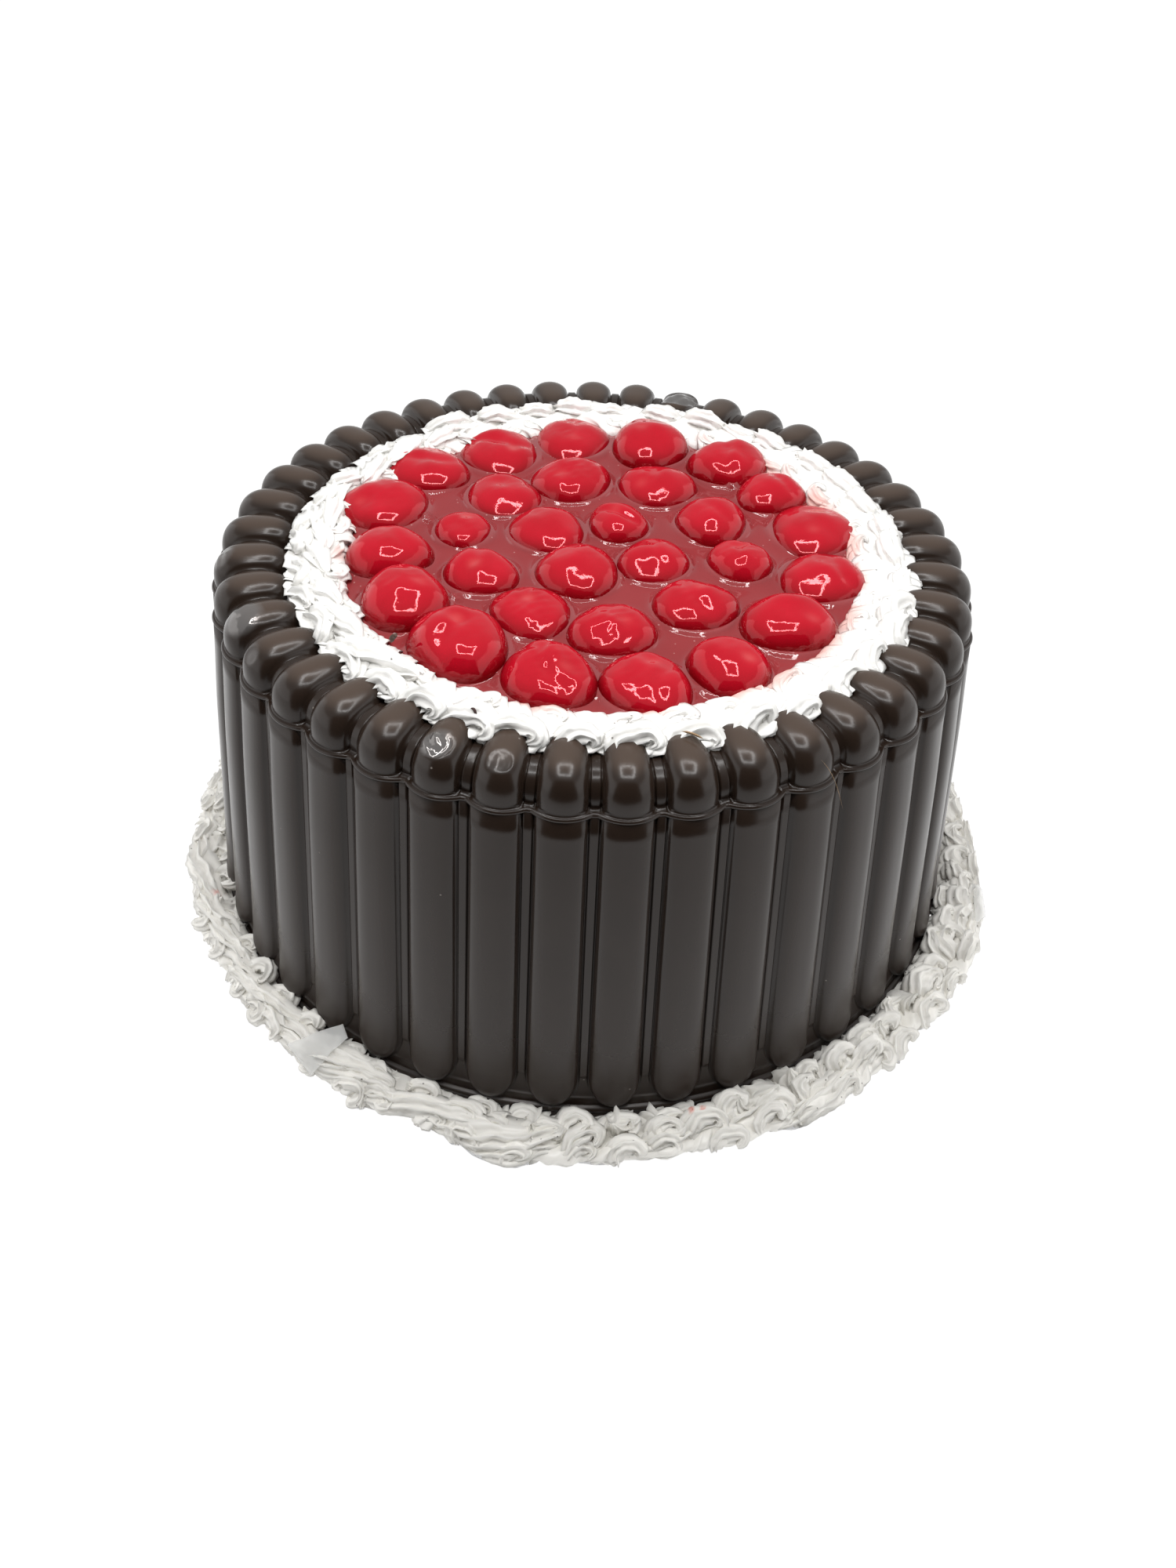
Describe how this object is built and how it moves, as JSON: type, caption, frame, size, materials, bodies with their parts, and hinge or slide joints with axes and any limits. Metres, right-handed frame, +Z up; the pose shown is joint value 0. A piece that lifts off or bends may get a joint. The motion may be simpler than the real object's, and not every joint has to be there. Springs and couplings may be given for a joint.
{
  "type": "black forest cake",
  "caption": "Round black forest cake for display: chocolate wall of fingers, piped white cream rings at the rim and foot, glazed cherries set in dark red jelly.",
  "frame": {"origin": "centre of the base's outline, on the table", "axes": "+Z up, -Y towards the front, +X to the right seen from the front"},
  "size_m": [0.2444, 0.2444, 0.113],
  "materials": {
    "chocolate": "satin moulded chocolate brown",
    "cream": "white piped cream, soft sheen",
    "jelly": "clear dark red, wet gloss",
    "cherry": "glazed red, high gloss"
  },
  "bodies": {
    "root": {"finger_wall": "chocolate", "jelly": "jelly", "top_piping": "cream", "base_piping": "cream", "cherry_01": "cherry", "cherry_02": "cherry", "cherry_03": "cherry", "cherry_04": "cherry", "cherry_05": "cherry", "cherry_06": "cherry", "cherry_07": "cherry", "cherry_08": "cherry", "cherry_09": "cherry", "cherry_10": "cherry", "cherry_11": "cherry", "cherry_12": "cherry", "cherry_13": "cherry", "cherry_14": "cherry", "cherry_15": "cherry", "cherry_16": "cherry", "cherry_17": "cherry", "cherry_18": "cherry", "cherry_19": "cherry", "cherry_20": "cherry", "cherry_21": "cherry", "cherry_22": "cherry", "cherry_23": "cherry", "cherry_24": "cherry", "cherry_25": "cherry", "cherry_26": "cherry", "cherry_27": "cherry", "cherry_28": "cherry", "cherry_29": "cherry", "cherry_30": "cherry"}
  },
  "joints": []
}
